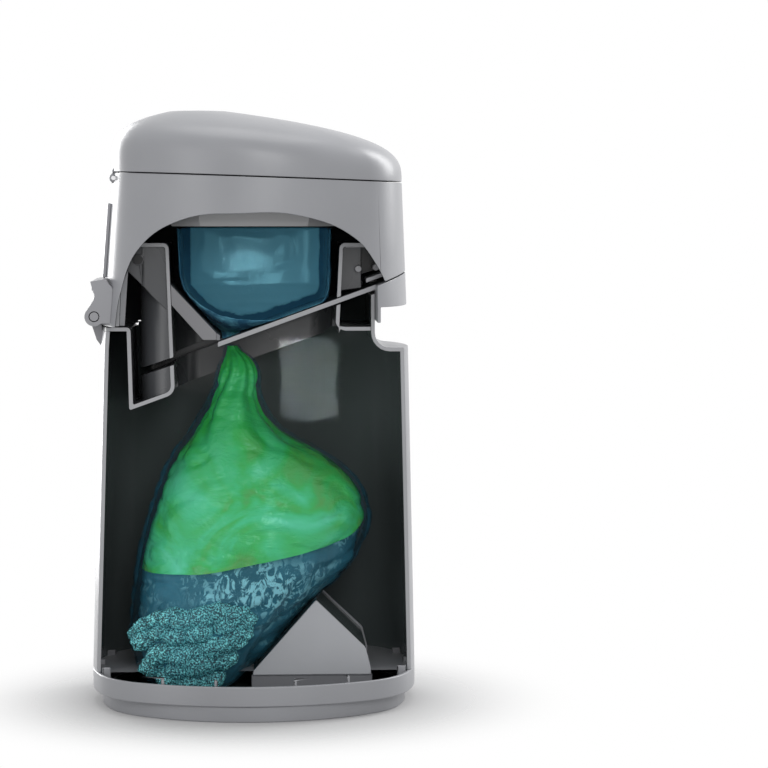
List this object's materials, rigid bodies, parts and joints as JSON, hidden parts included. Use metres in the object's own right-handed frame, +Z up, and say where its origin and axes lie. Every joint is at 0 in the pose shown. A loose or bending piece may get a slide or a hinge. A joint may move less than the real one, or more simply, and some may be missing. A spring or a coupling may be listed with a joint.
{
  "type": "litter disposal pail",
  "caption": "Cutaway litter disposal pail: hinged head with lid, film cassette, throat and sprung slide gate over a barrel with a hanging bag.",
  "frame": {"origin": "middle of the foot's underside, on the floor", "axes": "+X to the front (pull handle), -X to the rear (hinge), +Z up, -Y the cut-open near side"},
  "size_m": [0.2389, 0.202, 0.4325],
  "materials": {
    "base_pan": "satin moulded grey",
    "floor_wedge": "satin moulded light grey",
    "barrel_shell": "satin moulded grey, darker inside",
    "deck_ring": "satin moulded light grey",
    "hinge_lug": "satin moulded grey",
    "hinge_pin": "drawn pin",
    "bag_film": "glossy blue see-through film",
    "soiled_load": "glossy green see-through film",
    "litter_heap": "granular clumps tinted by the film",
    "head_shell": "satin moulded grey",
    "hinge_strap": "satin moulded grey",
    "strap_screws": "plain screw heads",
    "spine_cover": "satin moulded grey",
    "throat_liner": "satin moulded light grey",
    "front_pegs": "plain steel pins",
    "boss_screw": "plain screw",
    "rear_jaw": "satin moulded light grey",
    "jaw_lip": "soft black strip",
    "gate_rail": "satin moulded dark grey",
    "gate_spring": "spring wire",
    "head_deck": "satin moulded dark grey",
    "cassette_tray": "satin moulded light grey",
    "film_pack": "pleated blue film",
    "throat_film": "glossy blue see-through film",
    "lid_pin": "drawn pin",
    "gate_plate": "satin moulded light grey",
    "pull_handle": "satin moulded grey",
    "handle_screws": "plain screw heads",
    "lid_shell": "satin moulded grey",
    "lid_gasket": "soft black seal"
  },
  "bodies": {
    "bin": {"base_pan": "base_pan", "floor_wedge": "floor_wedge", "barrel_shell": "barrel_shell", "deck_ring": "deck_ring", "hinge_lug": "hinge_lug", "hinge_pin": "hinge_pin", "bag_film": "bag_film", "soiled_load": "soiled_load", "litter_heap": "litter_heap"},
    "head": {"head_shell": "head_shell", "hinge_strap": "hinge_strap", "strap_screws": "strap_screws", "spine_cover": "spine_cover", "throat_liner": "throat_liner", "front_pegs": "front_pegs", "boss_screw": "boss_screw", "rear_jaw": "rear_jaw", "jaw_lip": "jaw_lip", "gate_rail": "gate_rail", "gate_spring": "gate_spring", "head_deck": "head_deck", "cassette_tray": "cassette_tray", "film_pack": "film_pack", "throat_film": "throat_film", "lid_pin": "lid_pin"},
    "gate": {"gate_plate": "gate_plate", "pull_handle": "pull_handle", "handle_screws": "handle_screws"},
    "lid": {"lid_shell": "lid_shell", "lid_gasket": "lid_gasket"}
  },
  "joints": [
    {"name": "head_hinge", "type": "hinge", "parent": "bin", "child": "head", "pos_m": [-0.115, 0, 0.2848], "axis": [0, -1, 0], "range_deg": [0, 95]},
    {"name": "gate_slide", "type": "slide", "parent": "head", "child": "gate", "axis": [0.9401, 0, 0.3409], "range_m": [0, 0.07], "stiffness_N_per_m": 60, "springref_m": -0.04, "deforming": ["gate_spring"]},
    {"name": "lid_hinge", "type": "hinge", "parent": "head", "child": "lid", "pos_m": [-0.1012, 0, 0.3842], "axis": [0, -1, 0], "range_deg": [0, 100]}
  ]
}
